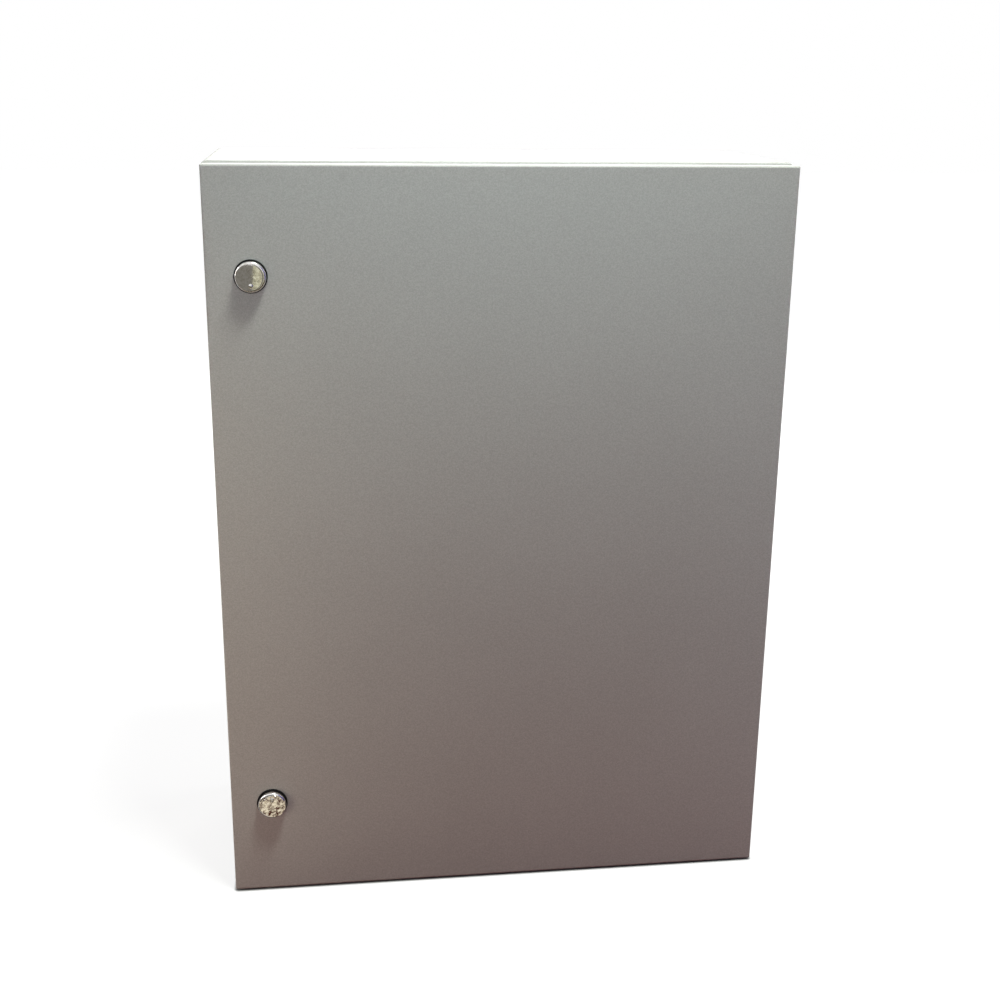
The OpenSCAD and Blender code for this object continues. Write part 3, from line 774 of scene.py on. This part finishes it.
def ridge(bm, run):
    """Closed ridge through a run of four-point sections."""
    loops = skin_rings(bm, run)
    bm.faces.new(loops[0])
    bm.faces.new(loops[-1])


for end in ("upper", "lower"):
    def lock_thread(bm, end=end):
        barrel_thread(bm, end)
    new_piece(f"lock_thread_{end}", lock_thread, "door", "chrome_lock")


# Dust covers: crowned discs with an even skin, ringed about the rivet that they turn on

COVER_RIM_H = 0.7 * MM
COVER_CROWN_H = 0.5 * MM
RIVET_HOLE_R = 1.25 * MM
# Rings of the mesh: those on the crown, those on the edge, and the edge's reach in edge radii
CROWN_RINGS = 18
EDGE_RINGS = 12
EDGE_REACH = 1.4


def dust_cover(bm, end, count=144):
    """Disc with a rounded edge and a low crown, bored for its rivet."""
    low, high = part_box(f"dust_cover_{end}")
    middle = (low + high) / 2
    pivot = sum(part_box(f"cover_rivet_{end}"), Vector()) / 2
    radius = (high.x - low.x) / 2
    thick = high.y - low.y
    edge_r = thick - COVER_RIM_H
    crown_r = (radius ** 2 + COVER_CROWN_H ** 2) / (2 * COVER_CROWN_H)
    off = Vector((pivot.x - middle.x, pivot.z - middle.z))

    def height(out):
        """Height of the front above the back at a distance out from the disc's middle."""
        crown = thick - crown_r + math.sqrt(crown_r ** 2 - out ** 2)
        into_edge = min(max(0.0, out - radius + edge_r), edge_r)
        return min(crown, COVER_RIM_H + math.sqrt(edge_r ** 2 - into_edge ** 2))

    def reach(along, circle_r):
        """Distance from the pivot to a circle about the disc's middle."""
        lean = off.dot(along)
        return math.sqrt(lean ** 2 + circle_r ** 2 - off.length_squared) - lean

    def ring(distance, back=False):
        points = []
        for k in range(count):
            along = Vector((math.cos(TAU * k / count), math.sin(TAU * k / count)))
            spot = off + along * distance(along)
            rise = 0.0 if back else height(spot.length)
            points.append((middle.x + spot.x, high.y - rise, middle.z + spot.y))
        return points

    def hole(along):
        return RIVET_HOLE_R

    def between(share, circle_r):
        """Distance that lies this share of the way from the hole to a circle."""
        return lambda along: RIVET_HOLE_R + (reach(along, circle_r) - RIVET_HOLE_R) * share

    edge_w = EDGE_REACH * edge_r
    rings = [ring(hole, back=True)]
    for k in range(CROWN_RINGS + 1):
        rings.append(ring(between(k / CROWN_RINGS, radius - edge_w)))
    for k in range(1, EDGE_RINGS + 1):
        inwards = edge_w * (1 - math.sin(math.pi / 2 * k / EDGE_RINGS))
        rings.append(ring(between(1, radius - inwards)))
    rings.append(ring(between(1, radius), back=True))
    skin_rings(bm, rings, closed=True)


for end in ("upper", "lower"):
    def crowned_cover(bm, end=end):
        dust_cover(bm, end)
    new_piece(f"dust_cover_{end}_crowned", crowned_cover, f"cover_{end}", "chrome_lock",
              [f"dust_cover_{end}"], 35, chrome_cover)


# Stage: a pale floor that turns white to the camera, and cards that only reflections see


def staged(name, corners, material, only_reflected):
    """Flat piece of the stage with four corners."""
    mesh = bpy.data.meshes.new(name)
    mesh.from_pydata([Vector(c) for c in corners], [], [(0, 1, 2, 3)])
    card = bpy.data.objects.new(name, mesh)
    bpy.context.scene.collection.objects.link(card)
    mesh.materials.append(material)
    if only_reflected:
        card.visible_camera = False
        card.visible_diffuse = False
        card.visible_shadow = False
        card.visible_transmission = False


def seen_straight(s):
    """1 on camera, glossy and transmission rays, else 0."""
    path = s.add("LightPath").outputs
    total = s.math("ADD", path["Is Camera Ray"], path["Is Glossy Ray"])
    return s.math("MINIMUM", s.math("ADD", total, path["Is Transmission Ray"]), 1.0)


WHITE = (1.0, 1.0, 1.0)
FLOOR_SEEN = (0.22, 0.22, 0.22)
FLOOR_BOUNCE = (0.33, 0.165, 0.155)
FLOOR_HALF = 12.0
# Glow near the object and far from it, between these distances
GLOW_NEAR, GLOW_FAR = 0.80, 1.0
GLOW_FROM, GLOW_TO = 0.7, 1.9
# Contact line, a painted shade that darkens the floor's glow where it meets the object: how far it
# reaches, and the openness where it is black and where it ends
CONTACT_SHADE_REACH = 4 * MM
CONTACT_SHADE_BLACK, CONTACT_SHADE_CLEAR = 0.60, 0.97


def floor_material():
    """Diffuse floor with enough glow, on straight rays, to be white but for shadow and a painted
    contact shade.
    """
    s = Shader("stage_floor")
    point = s.add("NewGeometry").outputs["Position"]
    away = s.add("VectorMath", {0: point}, operation="LENGTH").outputs["Value"]
    glow = s.remap(away, GLOW_FROM, GLOW_TO, GLOW_NEAR, GLOW_FAR)
    straight = seen_straight(s)
    colour = s.blend(straight, FLOOR_BOUNCE, FLOOR_SEEN)
    diffuse = s.add("BsdfDiffuse", {"Color": colour}).outputs[0]
    # Painted shade: the glow darkens to black in the crease where the floor meets the object
    openness = s.add("AmbientOcclusion", {"Distance": CONTACT_SHADE_REACH}, samples=8).outputs["AO"]
    lit = s.math("MULTIPLY", glow, s.remap(openness, CONTACT_SHADE_BLACK, CONTACT_SHADE_CLEAR))
    strength = s.math("MULTIPLY", lit, straight)
    emission = s.add("Emission", {"Color": (*WHITE, 1), "Strength": strength}).outputs[0]
    return s.end_with(s.add("AddShader", {0: diffuse, 1: emission}))


# Marks on a card: how they are turned and drawn out, and the noise levels of their edge
MARK_TURN = (0, 0, -0.52)
MARK_STRETCH = (1, 0.35, 1)
MARK_FROM, MARK_TO = 0.47, 0.56


def card_material(name, colour, speckle, size):
    """Glowing card of one colour, or with marks of a second colour and that size."""
    s = Shader(name)
    shade = (*colour, 1)
    if speckle:
        point = s.add("NewGeometry").outputs["Position"]
        turned_point = s.add("Mapping", {"Vector": point, "Rotation": MARK_TURN}).outputs[0]
        long_point = s.add("Mapping", {"Vector": turned_point, "Scale": MARK_STRETCH}).outputs[0]
        share = s.remap(s.noise(long_point, size, 2.0), MARK_FROM, MARK_TO)
        shade = s.blend(share, colour, speckle)
    return s.end_with(s.add("Emission", {"Color": shade, "Strength": 1.0}))


def upright(start, stop, top):
    """Corners of a card that stands over the line between two places (x, y) on the floor."""
    return [(*start, CARD_FOOT), (*stop, CARD_FOOT), (*stop, top), (*start, top)]


def lying(left, right, far, near, z):
    """Corners of a card that lies between two x and two y."""
    return [(left, far, z), (right, far, z), (right, near, z), (left, near, z)]


floor_corners = lying(-FLOOR_HALF, FLOOR_HALF, -FLOOR_HALF, FLOOR_HALF, body_lo.z)
staged("floor", floor_corners, floor_material(), False)


# World, lamps, the places of the cards, and the camera

WORLD_FILL = (1.0, 0.96, 0.95)
WORLD_STRENGTH = 0.03


def world_light():
    """White to straight rays, and a weak fill to diffuse ones."""
    s = Shader("studio", world=True)
    fill = s.add("Background", {"Color": (*WORLD_FILL, 1), "Strength": WORLD_STRENGTH}).outputs[0]
    white = s.add("Background", {"Color": (*WHITE, 1), "Strength": 1.0}).outputs[0]
    bpy.context.scene.world = s.end_with(s.add("MixShader", {0: seen_straight(s), 1: fill, 2: white}))


def lamp(name, place, target, size, power, colour, spread, mirrored):
    """Area lamp that looks at target; one that isn't mirrored stays out of reflections."""
    data = bpy.data.lights.new(name, "AREA")
    data.shape = "RECTANGLE"
    data.size, data.size_y = size
    data.energy = power
    data.color = colour
    data.spread = math.radians(spread)
    item = bpy.data.objects.new(name, data)
    item.location = place
    item.rotation_euler = (Vector(target) - Vector(place)).to_track_quat("-Z", "Y").to_euler()
    item.visible_camera = False
    item.visible_glossy = mirrored
    bpy.context.scene.collection.objects.link(item)


world_light()
# Lamps: place, aim, width and height, watts, colour, beam, and whether reflections show it
LAMPS = {
    "key": (
        (0.24, -0.52, 2.40), (0.05, -0.30, 0.5), (0.55, 0.28), 66, (0.95, 1.0, 0.935), 180, True),
    "front_high": (
        (0.0, -2.4, 1.5), (0, 0, 1.1), (1.0, 0.5), 2.7, (0.70, 0.94, 1.0), 40, False),
    "front_even": (
        (0.0, -3.4, 1.0), (0, 0, 0.4), (2.0, 2.0), 11.5, (1.0, 0.70, 1.0), 180, False),
    "left_tall": (
        (-0.66, -0.46, 0.33), (-0.34, -0.12, 0.31), (0.2, 0.72), 0.37, (1.0, 0.92, 0.74), 60, False),
    "right_tall": (
        (0.66, -0.52, 0.30), (0.36, -0.12, 0.28), (0.2, 0.8), 0.12, (0.61, 0.80, 1.0), 60, False),
    "side_left": ((-2.2, 0.5, 1.3), (0, 0.1, 0.4), (1.4, 1.4), 30, WHITE, 180, True),
    "side_right": ((2.2, 0.5, 1.3), (0, 0.1, 0.4), (1.4, 1.4), 30, WHITE, 180, True),
    "back": ((0.3, 2.4, 1.4), (0, 0.1, 0.4), (1.6, 1.4), 36, WHITE, 180, True),
}
for name, settings in LAMPS.items():
    lamp(name, *settings)

# Upright cards: a far wall in two halves that meet on a sloping line, and one at each side
CARD_HALF = 3.0
CARD_FOOT = -0.1
WALL_Y = -2.1
WALL_TOP = 0.75
WALL_RIGHT = 1.2
SPLIT_FOOT_X = -0.28
SPLIT_TOP_X = -0.23
SIDE_END_Y = 0.2
LEFT_TOP = 1.8
RIGHT_TOP = 2.6
# Lying cards: strips across the floor from the wall to the door, and a patch before the lower lock
FAR_Y = -0.52
FOOT_Y = -0.24
CARD_Z = 2 * MM
LOCK_LEFT = lock_axis["lower"].x - 70 * MM
LOCK_RIGHT = lock_axis["lower"].x + 70 * MM
LOCK_FOOT_Y = door_front - 70 * MM
# Corners, colour and, where mottled, the second colour and the size of its marks
CARDS = {
    "card_front_left": (
        [(-CARD_HALF, WALL_Y, CARD_FOOT), (SPLIT_FOOT_X, WALL_Y, CARD_FOOT),
         (SPLIT_TOP_X, WALL_Y, WALL_TOP), (-CARD_HALF, WALL_Y, WALL_TOP)],
        linear(130, 127, 120), None, 0),
    "card_front_right": (
        [(SPLIT_FOOT_X, WALL_Y, CARD_FOOT), (WALL_RIGHT, WALL_Y, CARD_FOOT),
         (WALL_RIGHT, WALL_Y, WALL_TOP), (SPLIT_TOP_X, WALL_Y, WALL_TOP)],
        linear(220, 217, 190), linear(158, 154, 130), 60 * MM),
    "card_right": (
        upright((WALL_RIGHT, WALL_Y), (CARD_HALF, SIDE_END_Y), RIGHT_TOP),
        linear(88, 80, 150), None, 0),
    "card_left": (
        upright((-CARD_HALF, WALL_Y), (-CARD_HALF, SIDE_END_Y), LEFT_TOP),
        linear(150, 138, 126), None, 0),
    "card_far_floor": (
        lying(-CARD_HALF, CARD_HALF, WALL_Y, FAR_Y, CARD_Z),
        linear(44, 32, 29), None, 0),
    "card_floor": (
        lying(-CARD_HALF, CARD_HALF, FAR_Y, FOOT_Y, CARD_Z),
        linear(255, 242, 214), linear(72, 24, 15), 6 * MM),
    # Dark strip at the door's foot: painted shade of the floor there, seen only in reflections
    "card_foot": (
        lying(-CARD_HALF, CARD_HALF, FOOT_Y, door_front, CARD_Z),
        linear(36, 24, 21), None, 0),
    # Bright patch before the lower lock: a painted reflection that lights a band on its rim
    "card_lock_foot": (
        lying(LOCK_LEFT, LOCK_RIGHT, FOOT_Y, LOCK_FOOT_Y, 2 * CARD_Z),
        linear(255, 248, 238), None, 0),
}
for name, (corners, *look) in CARDS.items():
    staged(name, corners, card_material(name, *look), True)

# Camera: where it stands from the door's front, how it is turned, and its lens
CAMERA_X = -0.18938
CAMERA_AWAY = 1.37891
CAMERA_Z = 0.88149
YAW, PITCH, ROLL = (math.radians(a) for a in (7.648, 17.110, 0.704))
SENSOR = 36.0
LENS = 49.545

camera_data = bpy.data.cameras.new("camera")
camera_data.sensor_width = SENSOR
camera_data.lens = LENS
camera = bpy.data.objects.new("camera", camera_data)
turn = (
    Matrix.Rotation(-YAW, 4, "Z")
    @ Matrix.Rotation(math.pi / 2 - PITCH, 4, "X")
    @ Matrix.Rotation(ROLL, 4, "Z")
)
camera.matrix_world = Matrix.Translation((CAMERA_X, door_front - CAMERA_AWAY, CAMERA_Z)) @ turn
bpy.context.scene.collection.objects.link(camera)
bpy.context.scene.camera = camera
bpy.context.scene.view_settings.view_transform = "Standard"
